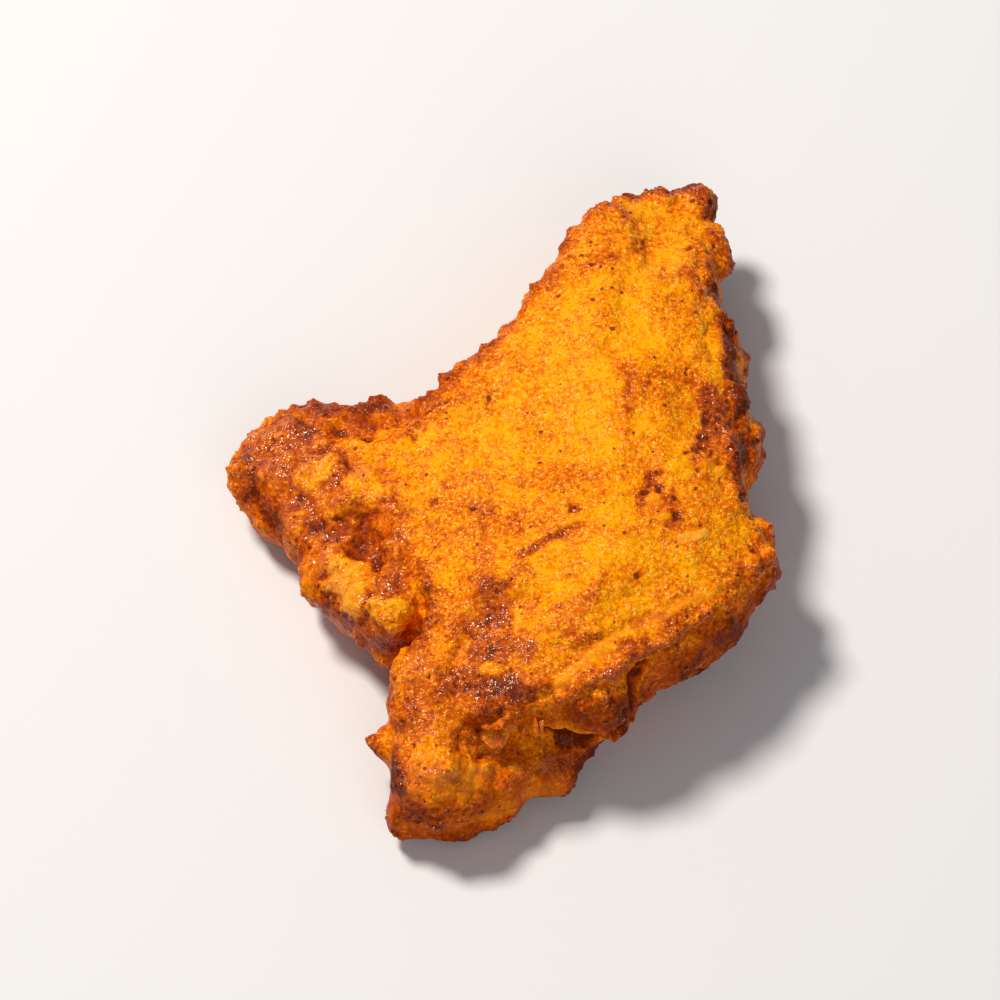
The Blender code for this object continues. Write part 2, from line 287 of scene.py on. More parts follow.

# Marks of the batter: the line of each through its middle, in millimetres, and its radius. Then how
# far it stands up, how sharp its edge is, how much browner it is, and how smooth. Those that are less
# brown, and smooth as well, show a bare film of batter. Some marks are painted shade or painted
# light, as each one's note says.
MARKS = {
    "knob_left": (((-17.2, 1.1, 10.2), (-16.0, 1.8, 10.2)), 2.0, 0.9, 0.35, -0.55, 0.2),
    "knob_middle": (((-12.6, 0.3, 11.4), (-12.0, -0.9, 11.7)), 2.0, 0.7, 0.3, -0.5, 0.2),
    "knob_middle_top": (((-11.8, -0.1, 11.8), (-11.5, -0.5, 11.8)), 0.7, 0.1, 0.2, -0.5, 0.0),
    "knob_gap": (((-14.4, 3.4, 10.1), (-14.1, 0.9, 10.3)), 1.0, -0.2, 0.3, 0.42, 0.3),
    "pit_left": (((-14.9, -3.2, 10.1), (-14.2, -3.6, 10.1)), 0.8, -0.35, 0.3, 0.25, 0.2),
    "pit_outer": (((-17.3, -3.2, 9.8), (-16.7, -3.4, 9.8)), 0.6, -0.12, 0.2, 0.2, 0.2),
    "lobe_dent": (((-17.0, -3.1, 9.8), (-15.2, -4.5, 9.8)), 1.2, -0.35, 0.3, 0.15, 0.6),
    "smooth_flap": (
        ((-13.6, -3.7, 9.6), (-15.4, -6.3, 9.0), (-17.2, -8.7, 7.8)),
        1.3, 0.5, 0.5, 0.0, 1.0,
    ),
    "bare_hollow": (((-13.0, -5.9, 9.4), (-11.9, -7.4, 9.9)), 1.35, -0.45, 0.5, 0.2, 1.0),
    "pale_blister": (((-13.9, -8.9, 9.7), (-13.3, -10.7, 9.5)), 2.3, 0.8, 0.4, -0.65, 0.5),
    "yellow_blister": (((-10.6, -12.7, 10.3), (-9.5, -13.2, 10.4)), 1.5, 0.9, 0.35, -0.68, 0.1),
    "lobe_ridge": (
        ((-10.6, -6.3, 11.4), (-8.8, -8.9, 12.1), (-8.9, -11.3, 11.4)),
        1.0, 0.4, 0.4, 0.18, 0.2,
    ),
    "lobe_valley": (
        ((-7.6, -9.7, 12.9), (-7.5, -13.9, 12.7), (-7.6, -17.3, 12.3)),
        1.1, 0.5, 0.2, 0.3, 0.1,
    ),
    # Partly painted shadow: the ledge is browner as if another piece lay over it.
    "ledge": (((-17.0, 9.0, 8.5), (-12.0, 8.6, 9.2), (-7.0, 8.4, 10.4)), 4.2, 0.0, 0.1, 0.34, 0.5),
    "ledge_knob_left": (((-15.6, 7.9, 8.9), (-14.8, 8.5, 8.9)), 1.3, 1.0, 0.5, 0.0, 0.5),
    "ledge_knob_right": (((-12.6, 8.3, 9.2), (-10.6, 8.4, 9.5)), 1.2, 1.0, 0.5, 0.05, 0.6),
    "ledge_speck_left": (((-15.0, 6.6, 9.5), (-14.6, 6.5, 9.5)), 0.35, -0.15, 0.5, 0.5, 0.0),
    "ledge_speck_right": (((-12.3, 5.7, 9.9), (-11.9, 5.5, 9.9)), 0.4, -0.15, 0.5, 0.5, 0.0),
    "lobe_red_back": (((-21.5, 5.5, 8.2), (-19.0, 4.1, 9.2)), 2.8, 0.0, 0.2, 0.1, 0.3),
    "lobe_red_side": (((-20.0, 1.9, 9.4), (-20.4, -2.1, 8.4)), 2.2, 0.2, 0.3, 0.12, 0.4),
    "lobe_outer_rim": (
        ((-24.0, 5.1, 7.6), (-23.8, 1.5, 7.4), (-21.8, -2.1, 7.0)),
        1.8, -0.4, 0.2, 0.22, 0.2,
    ),
    "lobe_front_rim": (
        ((-16.8, -11.1, 6.2), (-13.1, -14.0, 7.0), (-9.4, -15.9, 7.9)),
        1.6, 0.2, 0.3, 0.2, 0.0,
    ),
    "crease_line": (((-9.6, 4.5, 11.2), (-7.2, 6.1, 12.4), (-4.6, 7.7, 13.2)), 0.45, -0.1, 0.4, 0.3, 0.0),
    "back_edge": (((-3.4, 9.9, 12.6), (1.6, 17.9, 13.4), (6.4, 24.5, 13.2)), 1.1, 0.0, 0.2, 0.2, 0.0),
    "cluster_a": (((14.6, -1.5, 16.0),), 0.5, -0.15, 0.3, 0.42, 0.2),
    "cluster_b": (((13.6, -1.9, 16.0),), 0.45, -0.15, 0.3, 0.35, 0.2),
    "cluster_c": (((14.5, -3.2, 16.0),), 0.65, -0.15, 0.3, 0.45, 0.2),
    "cluster_d": (((15.6, -3.5, 16.0),), 0.35, -0.15, 0.3, 0.4, 0.2),
    "cluster_e": (((16.0, -4.1, 15.9),), 0.35, -0.15, 0.3, 0.4, 0.2),
    "cluster_f": (((11.4, -2.0, 16.2),), 0.35, -0.15, 0.3, 0.35, 0.2),
    "cluster_g": (((16.1, -6.3, 15.9),), 0.45, -0.15, 0.3, 0.45, 0.2),
    "cluster_h": (((15.7, -7.0, 15.9),), 0.5, -0.15, 0.3, 0.45, 0.2),
    "cluster_i": (((18.1, -6.7, 15.6),), 0.3, -0.15, 0.3, 0.5, 0.2),
    "cluster_side": (
        ((13.0, -3.2, 16.2), (12.9, -4.4, 16.2), (12.5, -6.2, 16.2)),
        0.4, -0.1, 0.3, 0.28, 0.0,
    ),
    "cluster_field": (((12.8, -1.4, 16.0), (16.0, -7.2, 16.0)), 1.9, 0.0, 0.1, 0.24, 0.0),
    "pale_chip_middle": (
        ((14.0, -4.3, 16.2), (14.5, -5.2, 16.2), (14.8, -6.0, 16.2)),
        0.8, 0.1, 1.0, -0.6, 0.5,
    ),
    "pale_chip_corner": (((16.2, -0.9, 15.8), (16.7, -1.2, 15.8)), 0.9, 0.12, 1.0, -0.6, 0.4),
    "pale_chip_low": (((10.2, -9.0, 16.0), (11.8, -9.3, 16.0)), 1.1, 0.12, 0.9, -0.6, 0.4),
    "pale_chip_left": (((10.7, -3.9, 16.3), (11.4, -4.3, 16.3)), 0.6, 0.1, 0.9, -0.5, 0.4),
    "pale_chip_right": (
        ((16.6, -8.2, 15.8), (18.0, -8.0, 15.6), (18.8, -7.3, 15.4)),
        0.5, 0.16, 1.0, -0.7, 0.9,
    ),
    "square_pit": (((6.7, -5.5, 16.2), (7.1, -5.5, 16.2)), 0.45, -0.6, 0.9, 0.55, 0.3),
    "dark_speck": (((5.3, 17.9, 15.3), (5.5, 17.9, 15.3)), 0.28, -0.1, 0.6, 1.2, 0.0),
    "dash_right": (((13.0, 6.9, 16.4), (13.7, 8.1, 16.4)), 0.28, -0.08, 0.5, 0.4, 0.0),
    "dash_left": (((11.6, 6.7, 16.6), (11.9, 7.9, 16.6)), 0.28, -0.08, 0.5, 0.35, 0.0),
    "crease_dash": (((2.0, -9.9, 15.2), (4.6, -8.1, 15.9), (8.0, -7.2, 16.2)), 0.5, -0.1, 0.3, 0.4, 0.0),
    "orange_back": (((5.6, 19.5, 15.2), (9.4, 21.9, 15.0)), 2.2, 0.0, 0.1, 0.14, 0.0),
    "orange_right": (((11.2, 3.1, 16.6), (11.6, 9.1, 16.4)), 1.3, 0.0, 0.1, 0.20, 0.0),
    "orange_middle": (((4.4, -1.1, 15.0), (8.8, -2.5, 15.8)), 2.4, 0.0, 0.1, 0.18, 0.0),
    "orange_left": (((-2.2, -4.9, 14.6), (0.4, -6.5, 15.0)), 2.0, 0.0, 0.1, 0.2, 0.0),
    "orange_corner": (((14.0, 8.5, 16.0), (18.4, 6.5, 15.2)), 2.8, 0.0, 0.1, 0.16, 0.0),
    "red_streak": (((12.2, -16.8, 14.8), (14.4, -15.7, 14.6)), 0.6, 0.0, 0.3, 0.4, 0.0),
    "brown_right": (((19.6, 7.5, 14.6), (19.9, 3.5, 14.6), (18.4, 1.1, 15.2)), 1.5, 0.0, 0.1, 0.42, 0.0),
    "right_rim": (
        ((20.6, 19.5, 12.4), (21.6, 11.5, 13.0), (22.4, 4.5, 12.8), (22.4, -1.5, 13.4)),
        1.7, 0.0, 0.2, 0.58, 0.0,
    ),
    "tip_rim": (((12.4, 31.5, 10.4), (16.4, 33.7, 10.0), (20.0, 30.5, 9.6)), 1.6, 0.0, 0.2, 0.34, 0.0),
    "crisp_field": (
        ((-2.6, -14.0, 13.6), (-0.6, -18.0, 13.6), (-1.6, -22.0, 12.8)),
        4.2, 0.0, 0.1, 0.19, 0.0,
    ),
    "yellow_band": (
        ((9.0, 22.0, 15.2), (8.4, 10.0, 16.6), (5.4, 1.0, 15.8), (9.4, -7.0, 16.2), (14.0, -10.6, 16.0)),
        4.6, 0.0, 0.0, -0.3, 0.0,
    ),
    # Painted shade: the face is browner on its left, where the lamp lights it most.
    "face_left_shade": (((-7.6, 1.0, 13.6), (-3.4, -7.0, 14.4)), 3.6, 0.0, 0.0, 0.05, 0.0),
    "front_film": (
        (
            (5.5, -22.0, 13.2), (8.5, -19.6, 14.2), (11.4, -17.6, 14.6), (16.0, -15.0, 14.6),
            (20.3, -12.6, 14.4),
        ),
        0.75, 0.1, 0.6, -0.45, 0.7,
    ),
    "crisp_left": (((-1.9, -16.9, 13.2), (-1.6, -19.1, 13.0)), 1.4, -0.1, 0.4, 0.34, 0.3),
    "crisp_middle": (((0.2, -18.3, 13.8), (2.2, -19.1, 14.2)), 1.4, 0.1, 0.4, 0.34, 0.3),
    "crisp_front": (
        ((-3.6, -21.3, 12.7), (-1.6, -21.9, 12.9), (0.8, -22.1, 13.2)),
        1.3, 0.0, 0.3, 0.32, 0.3,
    ),
    "crisp_back": (((-0.8, -12.7, 14.1), (-0.4, -15.1, 13.9)), 1.4, 0.0, 0.1, 0.35, 0.0),
    "crisp_corner": (((1.8, -23.4, 13.0), (2.8, -23.1, 13.0)), 0.9, -0.4, 0.2, 0.36, 0.0),
    "amber_film": (((1.5, -15.0, 14.1), (1.9, -16.6, 14.0)), 0.65, 0.2, 0.9, -0.5, 0.7),
    "yellow_spot": (((-1.1, -20.5, 13.5), (-0.4, -20.8, 13.6)), 0.7, 0.2, 0.7, -0.75, 0.0),
    "front_bead_line": (
        (
            (5.2, -22.8, 12.5), (8.5, -21.6, 13.5), (10.9, -19.6, 13.9), (14.7, -17.8, 13.7),
            (18.3, -14.9, 13.6),
        ),
        0.6, 0.5, 0.5, 0.08, 0.0,
    ),
    "flap": (((5.2, -23.2, 10.6), (8.4, -23.4, 10.0), (10.4, -22.1, 10.4)), 2.3, 0.7, 0.5, 0.14, 0.8),
    "flap_shadow": (
        ((3.4, -24.0, 8.8), (6.4, -23.9, 6.2), (9.2, -24.1, 6.6), (11.6, -22.5, 7.4)),
        0.8, -0.9, 0.5, 0.45, 0.3,
    ),
    "wall_fold": (
        ((13.0, -19.6, 12.6), (12.1, -20.7, 10.9), (11.8, -21.5, 9.0)),
        0.55, -0.5, 0.5, 0.25, 0.2,
    ),
    # Painted shade: the front wall is made browner where it lies in shade.
    "front_wall_shade": (
        ((13.0, -20.3, 9.4), (18.6, -16.9, 9.6), (22.4, -12.9, 9.4)),
        3.4, 0.0, 0.2, 0.28, 0.7,
    ),
    "tail_arm": (((4.6, -25.7, 4.4), (8.2, -24.1, 4.4)), 1.8, 0.3, 0.3, 0.3, 0.3),
    "tail_pale": (((-6.2, -28.7, 8.0), (-3.4, -28.8, 7.2)), 2.8, 0.9, 0.15, -0.3, 1.0),
    "tail_yellow": (((-8.2, -26.3, 9.5), (-5.6, -27.0, 9.2)), 1.9, 0.0, 0.1, -0.45, 0.1),
    "tail_spot_left": (((-3.8, -28.1, 7.8),), 0.6, 0.1, 0.6, -0.4, 0.9),
    "tail_spot_middle": (((-2.2, -28.0, 7.5),), 0.5, 0.1, 0.6, -0.4, 0.9),
    "tail_spot_right": (((1.6, -27.2, 7.2),), 0.6, 0.1, 0.6, -0.4, 0.9),
    "tail_crease": (((-1.9, -29.8, 5.6), (1.2, -28.6, 5.4), (4.2, -27.7, 5.0)), 0.9, -0.1, 0.2, 0.0, 0.9),
    "tail_end": (((-8.4, -31.6, 3.6), (-4.6, -33.0, 3.0), (0.0, -31.2, 3.0)), 2.2, -1.2, 0.1, 0.0, 0.0),
    # Painted light: the steep front of the tail, which lies in shade, is made paler and barer.
    "tail_front_light": (((-2.6, -31.9, 4.6), (1.6, -30.3, 4.2), (4.8, -28.3, 3.8)), 2.4, 0.0, 0.1, -0.3, 1.0),
    "tail_notch": (((-7.8, -33.7, 5.8), (-7.2, -33.9, 5.4)), 0.6, -0.6, 0.4, 0.6, 0.0),
    "tail_left": (((-9.6, -26.9, 8.2), (-9.3, -29.5, 8.2)), 1.6, 0.1, 0.2, 0.5, 0.0),
    "tail_corner": (((-8.8, -32.1, 6.0), (-6.0, -33.9, 5.4)), 1.2, 0.0, 0.2, 0.15, 0.3),
    "neck": (((-4.0, -23.3, 11.2), (-7.6, -23.3, 10.4)), 3.0, 0.1, 0.2, 0.14, 0.2),
}

# Marks that are full of small burst bubbles.
CRATERED = ("cluster_field", "brown_right")

# Marks where the frying oil stands in beads.
OILED = (
    "front_bead_line",
    "crisp_left",
    "crisp_middle",
    "crisp_front",
    "crisp_back",
    "pale_blister",
    "lobe_front_rim",
    "brown_right",
    "lobe_red_back",
)

# Torn flakes of batter that stand up in front of the crisp patch: the line that each stands on, in
# millimetres, its height, and how far its free edge curls over.
TEARS = {
    "tear_left": (
        ((-2.4, -25.6, 9.6), (-1.2, -25.6, 9.8), (0.2, -24.8, 10.4), (1.3, -23.8, 11.2)),
        2.2, 1.2,
    ),
    "tear_behind": (((-1.4, -24.4, 10.8), (-0.2, -24.2, 11.0), (0.8, -23.4, 11.6)), 1.6, 0.8),
    "tear_right": (((1.9, -25.6, 9.6), (2.6, -24.8, 10.2), (3.0, -23.9, 11.0)), 1.9, 0.6),
    "tear_fork": (((2.2, -24.6, 10.2), (3.2, -24.6, 10.2), (3.9, -24.2, 10.6)), 1.3, 0.5),
    "tear_small": (((-4.6, -24.6, 9.6), (-3.6, -25.0, 9.6), (-2.8, -25.2, 9.6)), 1.2, 0.5),
}

# Where the zones of the piece lie, in millimetres. The line in plan along which the face falls away to
# the lobe, and the spans over which the lobe ends, the tail starts, and the top face is reached.
LOBE_EDGE = ((-14.0, 4.5), (-8.5, -0.5), (-7.2, -12.5), (-4.5, -22.5))
LOBE_FRONT = (-24.5, -19.5)
TAIL_START = (23.0, 26.5)
FACE_LEVEL = (10.0, 12.5)

# Domes that the batter set in: the smallest radius of each kind in millimetres, how many places are
# tried for it, and how far it stands up as a share of its radius.
BLISTERS = (0.9, 420, 0.46)
LUMPS = (0.45, 2600, 0.42)
GRANULES = (0.3, 14000, 0.30)

# Waves of the skin: the height and the width of each kind in millimetres, and its seed.
SWELL = (0.35, 3.2, 2)
ROLL = (0.22, 1.3, 4)
RIPPLE = (0.12, 0.6, 6)

# Burst bubbles: the smallest and the largest radius in millimetres, and how deep they are as a share
# of it. Marks that are cratered hold this many times more.
PIT_RADII = (0.28, 0.55)
PIT_DEPTH = 0.5
CRATER_SHARE = 8.0

# Chips of batter: the skin that they cover, in square metres, and each one's share of the square of
# its width. Those above this shade stand up, by up to this many millimetres a shade.
SKIN_AREA = 6.0e-3
CHIP_SHARE = 0.8
CHIP_SHADE = 0.55
CHIP_RISE = 0.8

# What a piece stores at each point for its material.
LAYERS = ("browning", "waxy", "bare", "oily")

# How much browner each kind of place is than the palest batter. The walls are partly browner and
# partly painted shade, most of all those that face right. Skin that faces down, hollows and the gaps
# between the grains get painted shade, and bulges get paler, painted light.
BROWNER = {
    "anywhere": 0.115,
    "wall": 0.15,
    "right_wall_shade": 0.15,
    "low_wall": 0.20,
    "under": 0.1,
    "lobe": 0.36,
    "tail": 0.24,
    "front_of_face": 0.05,
    "proud": 0.4,
    "hollow_shade_bulge_light": 0.35,
    "rim": 0.22,
    "grain_gap_shade": 0.9,
    "pit": 0.35,
    "chip": 0.08,
    "patch": 0.08,
}

# How oily flakes and crumbs are.
PIECE_OIL = 0.6

# Torn flakes: how thick they are and how deep they are set in the crust, in millimetres.
TEAR_THICK = 0.3
TEAR_SUNK = 0.3

# Crumbs: the span of their radii and the lowest place that one sits, in millimetres. They sit on skin
# that stands out by more than this many millimetres.
CRUMB_RADII = (0.14, 0.30)
CRUMB_LOWEST = 1.5
CRUMB_PROUD = 0.22

# The stage: the floor's side in metres, each lamp's place from the middle of the piece and its size in
# metres with its power in watts and its colour, the light of the room, and the camera's tilt and lens.
FLOOR_SIDE = 4.0
LAMPS = {
    "key": ((-0.29, 0.22, 0.61), 0.16, 5.2, "#FFF2E0"),
    "fill": ((0.18, -0.62, 0.48), 0.60, 1.2, "#FFF5EA"),
}
ROOM_LIGHT = 0.17
ELEVATION = math.radians(60.0)
LENS_MM = 300.0

# Half of the piece as the camera sees it, as a share of the piece's length, and the share of the frame
# that it fills.
SEEN_HALF = 0.44
FRAME_SHARE = 0.64

# Seeds of the random draws.
CRUST_SEED = 11
CRUMB_SEED = 23


def line_offsets(points, line):
    """Each point's distance to the line in plan, positive on its left, and its share of the way."""
    best = np.full(len(points), np.inf)
    side = np.zeros(len(points))
    way = np.zeros(len(points))
    runs = [math.dist(a, b) for a, b in zip(line, line[1:])]
    gone = 0.0
    for (a, b), run in zip(zip(line, line[1:]), runs):
        a = np.array(a) * MM
        step = np.array(b) * MM - a
        rel = points[:, :2] - a
        t = np.clip(rel @ step / (step @ step), 0.0, 1.0)
        off = rel - t[:, None] * step
        distance = np.hypot(off[:, 0], off[:, 1])
        nearer = distance < best
        best[nearer] = distance[nearer]
        cross = step[0] * rel[:, 1] - step[1] * rel[:, 0]
        side[nearer] = np.sign(cross)[nearer]
        way[nearer] = ((gone + t * run) / sum(runs))[nearer]
        gone += run
    return best * np.where(side < 0, -1.0, 1.0), way


def fold(points, normals, line, rise, back):
    """Raises a layer's edge: a short cliff at the line, and a long slope behind it."""
    offset, way = line_offsets(points, line)
    offset = offset / MM + 0.4 * wander(points, 1.6 * MM, 3)
    cliff = 0.3
    taper = ease(0.0, 0.22, way) * ease(0.0, 0.22, 1.0 - way)
    shape = ease(-cliff, cliff, offset) * (1.0 - ease(0.0, back, offset))
    facing = ease(0.0, 0.5, normals[:, 2])
    return (rise * MM * shape * taper * facing)[:, None] * normals


def way_to(points, line):
    """Each point's distance to a line in space, or to a single place, in millimetres."""
    nearest = np.full(len(points), np.inf)
    for a, b in zip(line, line[1:] or line):
        a = np.array(a) * MM
        step = np.array(b) * MM - a
        rel = points - a
        t = np.clip(rel @ step / max(step @ step, 1e-12), 0.0, 1.0)
        nearest = np.minimum(nearest, np.linalg.norm(rel - t[:, None] * step, axis=1))
    return nearest / MM


def ragged_edge(points):
    """How far in or out the edge of a mark strays at each point, as a share of its radius."""
    widths = ((0.26, 1.8, 7), (0.22, 0.8, 8), (0.18, 0.4, 10))
    return sum(share * wander(points, width * MM, seed) for share, width, seed in widths)


def inside_of(points, line, radius, sharp, ragged):
    """1 in the middle of a mark and 0 outside it, with a ragged edge."""
    reach = way_to(points, line) / radius + ragged
    return 1.0 - ease(0.25 + 0.5 * sharp, 1.35 - 0.3 * sharp, reach)


def find_marks(obj):
    """How far inside each mark every point lies, from 0 to 1. Each mark is dropped onto the skin."""
    points = points_of(obj.data)
    tree = tree_of(points)
    ragged = ragged_edge(points)
    inside = {}
    for name, (line, radius, _, sharp, _, _) in MARKS.items():
        on_skin = [tree.find(Vector(place) * MM)[0] / MM for place in line]
        inside[name] = inside_of(points, on_skin, radius, sharp, ragged)
    return inside


def sculpt(obj):
    """Gives the crust its layers' edges and its marks. It returns how far inside each mark points lie."""
    mesh = obj.data
    points = points_of(mesh)
    for line, rise, back in FOLDS.values():
        points += fold(points, spread(mesh, normals_of(mesh), 3), line, rise, back)
        move_points(mesh, points)
    marks = find_marks(obj)
    normals = soft_normals(mesh, 8)
    rises = sum(rise * MM * marks[name] for name, (_, _, rise, *_) in MARKS.items())
    move_points(mesh, points + normals * rises[:, None])
    return marks


def find_zones(obj):
    """Where the top face, the lobe, the tail and the walls are, and how rough and grainy each is."""
    mesh = obj.data
    normals = soft_normals(mesh, 12)
    up = normals[:, 2]
    points = points_of(mesh)
    _, y, z = (points / MM).T
    fall, _ = line_offsets(points, LOBE_EDGE)
    lobe = ease(-0.5, 2.0, -fall / MM) * ease(*LOBE_FRONT, y)
    tail = ease(*TAIL_START, -y)
    face = ease(0.75, 0.95, up) * ease(*FACE_LEVEL, z) * (1.0 - lobe) * (1.0 - tail)
    wall = 1.0 - ease(0.15, 0.65, up)
    return {
        "face": face,
        "lobe": lobe,
        "tail": tail,
        "wall": wall,
        "level": ease(0.55, 0.9, up),
        "under": ease(0.2, 0.7, -up),
        "rough": np.clip(1.0 - 0.88 * face - 0.5 * tail - 0.4 * wall - 0.25 * lobe, 0.12, 1.0),
        "grainy": np.clip(1.0 - 0.5 * tail - 0.3 * wall - 0.3 * lobe, 0.3, 1.0),
    }


def waves(points, kind):
    """How far the skin stands up at each point in one kind of wave."""
    height, width, seed = kind
    return height * MM * wander(points, width * MM, seed)


def domes(points, weights, kind, largest, chance):
    """How high each point stands in one kind of dome, before its share is taken."""
    smallest, tries, _ = kind
    return bubbles(points, weights, tries, (smallest * MM, largest), chance)


def raise_crust(obj, sizes, zones, marks):
    """Blisters, chips, lumps and granules of batter, and burst bubbles. It returns the pits' depth
    and each chip's shade."""
    chance = random.Random(CRUST_SEED)
    mesh = obj.data
    points = points_of(mesh)
    smooth = soft_normals(mesh, 6)
    rough = zones["rough"]
    grainy = zones["grainy"]

    blisters = domes(points, rough, BLISTERS, sizes.blister, chance)
    height = BLISTERS[-1] * spread(mesh, blisters, 1) * rough + waves(points, SWELL) * rough

    # The edges of the chips wander, coarsely and then finely.
    warp = np.stack([wander(points, 0.9 * MM, seed) for seed in (21, 22, 23)], axis=1) * 0.45 * MM
    warp += np.stack([wander(points, 0.45 * MM, seed) for seed in (24, 25, 26)], axis=1) * 0.15 * MM
    shades = plates(points, sizes.plate, chance, warp)
    step = np.maximum(shades - CHIP_SHADE, 0.0) * CHIP_RISE * MM
    height += spread(mesh, step, 1) * np.clip(0.25 + 0.75 * rough, 0.0, 1.0)

    lumps = domes(points, 0.15 + 0.85 * rough, LUMPS, sizes.lump, chance)
    height += LUMPS[-1] * lumps * np.clip(0.25 + rough, 0.0, 1.0)
    height += waves(points, ROLL) * np.clip(0.1 + rough, 0.0, 1.0)
    granules = domes(points, grainy, GRANULES, sizes.granule, chance)
    height += GRANULES[-1] * granules * grainy
    height += waves(points, RIPPLE) * grainy

    burst = np.clip(0.1 + 0.6 * rough, 0.0, 1.0)
    for name in CRATERED:
        burst = np.maximum(burst, CRATER_SHARE * marks[name])
    radii = [radius * MM for radius in PIT_RADII]
    tries = int(CRATER_SHARE) * sizes.pits
    pits = bubbles(points + 0.6 * warp, burst / CRATER_SHARE, tries, radii, chance)
    height -= spread(mesh, height, 400) + PIT_DEPTH * pits
    move_points(mesh, points + smooth * height[:, None])
    return np.clip(pits / (0.35 * MM), 0.0, 1.0), shades


def lie_flat(obj):
    """Keeps the crust on the level that it lies on."""
    points = points_of(obj.data)
    points[:, 2] = np.maximum(points[:, 2], 0.0)
    move_points(obj.data, points)


def browning_of(mesh, zones, pits, shades):
    """How brown each point is from its place and its relief alone, painted shade and painted light
    included.
    """
    points = points_of(mesh)
    _, y, z = (points / MM).T
    normals = spread(mesh, normals_of(mesh), 2)
    face, lobe, tail, wall = (zones[name] for name in ("face", "lobe", "tail", "wall"))

    # The walls are browner, partly as browning and partly as painted shade. The walls that face right get
    # more painted shade, and the walls are darker low down.
    browning = BROWNER["anywhere"] + BROWNER["wall"] * wall * (1.0 - 0.7 * lobe)
    browning += BROWNER["right_wall_shade"] * ease(0.2, 0.8, normals[:, 0]) * wall
    browning += BROWNER["lobe"] * lobe + BROWNER["tail"] * tail
    browning += BROWNER["front_of_face"] * face * ease(-8.0, 8.0, -y)
    browning += BROWNER["low_wall"] * wall * ease(-9.0, -2.0, -z) * (1.0 - 0.8 * lobe - 0.8 * tail)
    # Skin that faces down is darker, painted shade under the overhangs.
    browning += BROWNER["under"] * zones["under"]

    # What stood proud in the fat went brown. Hollows are browner and bulges paler, painted shade and
    # painted light, and the gaps between the grains are darker, painted shade.
    coarse = np.clip(stands_out(mesh, points, normals, 90), 0.0, 0.6)
    middle = np.clip(stands_out(mesh, points, normals, 24), -0.5, 0.4)
    rim = ease(0.3, 1.3, stands_out(mesh, points, normals, 350))
    gap = np.clip(-stands_out(mesh, points, normals, 6) - 0.02, 0.0, 0.2)
    browning += BROWNER["proud"] * coarse * (1.0 - 1.5 * lobe)
    browning -= BROWNER["hollow_shade_bulge_light"] * middle
    browning += BROWNER["rim"] * rim * (1.0 - 0.8 * tail) * (1.0 - 0.5 * lobe)
    browning += BROWNER["grain_gap_shade"] * gap + BROWNER["pit"] * pits

    browning += BROWNER["chip"] * (shades - 0.5) * (1.0 - face)
    browning += BROWNER["patch"] * (wander(points, 4.5 * MM, 9) + wander(points, 1.3 * MM, 5))
    return browning


def brown(obj, zones, marks, pits, shades):
    """Stores how brown, how smooth, how bare and how oily each point is, for the material to read."""
    mesh = obj.data
    browning = browning_of(mesh, zones, pits, shades)
    waxy = 0.35 * zones["wall"] + 0.4 * zones["tail"] + 0.3 * zones["lobe"] * (1.0 - zones["wall"])
    bare = np.zeros(len(browning))
    for name, (*_, browner, smooth) in MARKS.items():
        inside = marks[name]
        if browner < 0:
            browning *= 1.0 + browner * inside
            bare = np.maximum(bare, -browner * inside * smooth)
        else:
            browning += browner * inside
        waxy += (smooth - waxy) * inside * (smooth > 0)

    # Oil runs off the slopes and stays where the crust is level, crisp or full of beads.
    oily = 0.13 + 0.35 * zones["lobe"] + 0.25 * zones["tail"]
    oily += 0.8 * np.clip(browning - 0.30, 0.0, 0.5)
    oily *= 0.1 + 0.9 * zones["level"]
    oily += 0.3 * sum(marks[name] for name in OILED)
    for name, values in zip(LAYERS, (browning, waxy, bare, oily)):
        layer = mesh.attributes.new(name, "FLOAT", "POINT")
        layer.data.foreach_set("value", np.clip(values, 0.0, 1.0).astype(np.float32))


def plug(tree, value, socket):
    """Sets a socket to a value, or links it to a socket or to a node's first output in use."""
    if isinstance(value, bpy.types.Node):
        value = next(output for output in value.outputs if output.enabled)
    if isinstance(value, bpy.types.NodeSocket):
        tree.links.new(value, socket)
    else:
        socket.default_value = value


def add_node(tree, kind, inputs=(), **settings):
    """Adds one node with its settings. Its inputs are in their order, or by name or number."""
    made = tree.nodes.new(kind)
    for name, value in settings.items():
        setattr(made, name, value)
    for key, value in inputs.items() if isinstance(inputs, dict) else enumerate(inputs):
        plug(tree, value, made.inputs[key])
    return made


def per_mm(size):
    """The scale of a texture whose pattern is that many millimetres wide."""
    return 1.0 / (size * MM)


# The patterns in the batter, from patches of browning down to the tops of single grains, which also carry
# the painted glints: the width of each in millimetres, its detail and its roughness.
PATTERNS = {
    "patches": (2.4, 4.0, 0.62),
    "drops": (0.50, 1.0, 0.6),
    "grain": (0.42, 1.5, 0.6),
    "tops": (0.25, 1.0, 0.6),
}

# How brown the batter is at each of its colours.
BROWNING_STOPS = (
    (0.00, "yellow"),
    (0.12, "amber"),
    (0.28, "orange"),
    (0.47, "copper"),
    (0.70, "rust"),
    (0.95, "brown"),
)

# The height of the grain and of the drops of oil over it, and how far apart the dark specks are, in
# millimetres.
GRAIN_RELIEF = 0.20
DROP_RELIEF = 0.34
SPECK_SPACING = 0.95

# The input numbers of a colour mix: its share and its two colours.
SHARE, UNDER, OVER = 0, 6, 7

# The setting that maps one span to another with soft ends.
SOFTLY = {"interpolation_type": "SMOOTHSTEP"}


